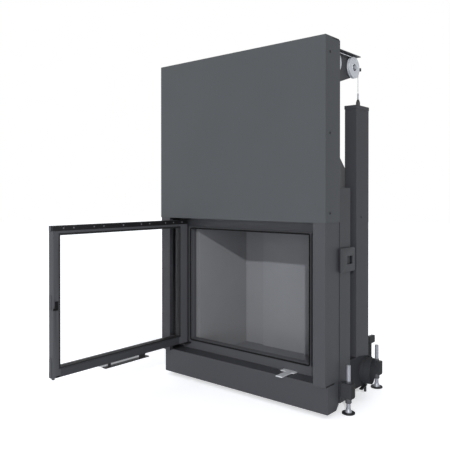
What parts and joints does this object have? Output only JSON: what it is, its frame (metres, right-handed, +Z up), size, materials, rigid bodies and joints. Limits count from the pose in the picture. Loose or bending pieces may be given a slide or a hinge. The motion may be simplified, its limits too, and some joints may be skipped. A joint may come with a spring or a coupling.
{
  "type": "fireplace insert",
  "caption": "Fireplace insert: steel firebox with a swing-open glass leaf, a lift carriage on cables, pulleys and counterweights, adjustable feet and a ducted air inlet.",
  "frame": {"origin": "on the floor, at the middle of the outline's width and depth with the leaf open", "axes": "+X towards the side with the air spigot, -Y out of the front, +Z up"},
  "size_m": [0.923, 1.1066, 1.358],
  "materials": {
    "casing_paint": "satin grey heat-proof paint",
    "frame_paint": "matt dark grey heat-proof paint",
    "leaf_paint": "satin dark grey heat-proof paint",
    "black_steel": "black finish",
    "zinc": "zinc plated",
    "duct_paint": "matt near-black paint",
    "pulley_zinc": "turned and zinc plated",
    "wire_rope": "stranded wire",
    "satin_steel": "satin",
    "lining_board": "matt grey insulating board",
    "seal_rope": "matt braided rope",
    "pad_rubber": "matt",
    "shoe_brass": "plain",
    "clear_glass": "clear"
  },
  "bodies": {
    "insert": {"cover_panel": "casing_paint", "column_left": "casing_paint", "column_right": "casing_paint", "plinth": "casing_paint", "side_box_left": "casing_paint", "side_box_right": "casing_paint", "guide_tube_left": "casing_paint", "guide_tube_right": "casing_paint", "pulley_brackets": "casing_paint", "side_lugs": "casing_paint", "air_pods": "duct_paint", "air_spigot": "duct_paint", "front_frame": "frame_paint", "casing_liner": "frame_paint", "body_side_left": "frame_paint", "body_side_right": "frame_paint", "body_back": "frame_paint", "body_floor": "frame_paint", "smoke_dome": "frame_paint", "flue_collar": "frame_paint", "foot_brackets": "frame_paint", "foot_nuts": "frame_paint", "cover_screws": "black_steel", "hinge_pivots": "black_steel", "pulley_bolts": "zinc", "bracket_bolts": "zinc", "foot_rods": "zinc", "cable_left": "wire_rope", "cable_right": "wire_rope", "lining_left": "lining_board", "lining_right": "lining_board", "lining_back": "lining_board", "hearth_floor": "lining_board", "baffle_board": "lining_board", "door_seal": "seal_rope", "foot_pads": "pad_rubber"},
    "leaf": {"leaf_top_rail": "leaf_paint", "leaf_bottom_rail": "leaf_paint", "leaf_hinge_stile": "leaf_paint", "leaf_free_stile": "leaf_paint", "leaf_glass": "clear_glass", "leaf_top_strip": "black_steel", "strip_screws": "zinc", "glass_retainers": "black_steel", "handle_bracket": "black_steel", "handle_grip": "satin_steel"},
    "latch": {"latch_cam": "black_steel"},
    "carriage": {"runner_left": "black_steel", "runner_right": "black_steel", "cross_bar": "black_steel", "glide_shoes": "shoe_brass"},
    "weight_left": {"counterweight_left": "black_steel"},
    "weight_right": {"counterweight_right": "black_steel"},
    "front_pulley_left": {"pulley_front_left": "pulley_zinc"},
    "front_pulley_right": {"pulley_front_right": "pulley_zinc"},
    "rear_pulley_left": {"pulley_rear_left": "pulley_zinc"},
    "rear_pulley_right": {"pulley_rear_right": "pulley_zinc"},
    "air_control": {"air_lever": "satin_steel"},
    "damper": {"damper_disc": "black_steel", "damper_lever": "black_steel"}
  },
  "joints": [
    {"name": "leaf_swing", "type": "hinge", "parent": "insert", "child": "leaf", "pos_m": [-0.33, 0.11775, 0.15], "axis": [0, 0, 1], "range_deg": [0, 90]},
    {"name": "latch_turn", "type": "hinge", "parent": "leaf", "child": "latch", "pos_m": [-0.3145, -0.53725, 0.41528], "axis": [-1, 0, 0], "range_deg": [0, 90]},
    {"name": "lift", "type": "slide", "parent": "insert", "child": "carriage", "axis": [0, 0, 1], "range_m": [0, 0.53]},
    {"name": "weight_drop_left", "type": "slide", "parent": "insert", "child": "weight_left", "axis": [0, 0, -1], "range_m": [0, 0.53]},
    {"name": "weight_drop_right", "type": "slide", "parent": "insert", "child": "weight_right", "axis": [0, 0, -1], "range_m": [0, 0.53]},
    {"name": "front_pulley_left_spin", "type": "hinge", "parent": "insert", "child": "front_pulley_left", "pos_m": [-0.3935, 0.16525, 1.283], "axis": [-1, 0, 0], "range_deg": [0, 790]},
    {"name": "front_pulley_right_spin", "type": "hinge", "parent": "insert", "child": "front_pulley_right", "pos_m": [0.3935, 0.16525, 1.283], "axis": [-1, 0, 0], "range_deg": [0, 790]},
    {"name": "rear_pulley_left_spin", "type": "hinge", "parent": "insert", "child": "rear_pulley_left", "pos_m": [-0.3935, 0.30625, 1.283], "axis": [-1, 0, 0], "range_deg": [0, 790]},
    {"name": "rear_pulley_right_spin", "type": "hinge", "parent": "insert", "child": "rear_pulley_right", "pos_m": [0.3935, 0.30625, 1.283], "axis": [-1, 0, 0], "range_deg": [0, 790]},
    {"name": "air_slide", "type": "slide", "parent": "insert", "child": "air_control", "axis": [1, 0, 0], "range_m": [-0.09, 0.03]},
    {"name": "damper_turn", "type": "hinge", "parent": "insert", "child": "damper", "pos_m": [0.41113, 0.37322, 0.111], "axis": [0, 0, 1], "range_deg": [0, 90]}
  ],
  "couplings": [
    {"joint": "weight_drop_left", "follows": "lift", "ratio": 1},
    {"joint": "weight_drop_right", "follows": "lift", "ratio": 1},
    {"joint": "front_pulley_left_spin", "follows": "lift", "rad_per_m": 25.84},
    {"joint": "front_pulley_right_spin", "follows": "lift", "rad_per_m": 25.84},
    {"joint": "rear_pulley_left_spin", "follows": "lift", "rad_per_m": 25.84},
    {"joint": "rear_pulley_right_spin", "follows": "lift", "rad_per_m": 25.84}
  ]
}
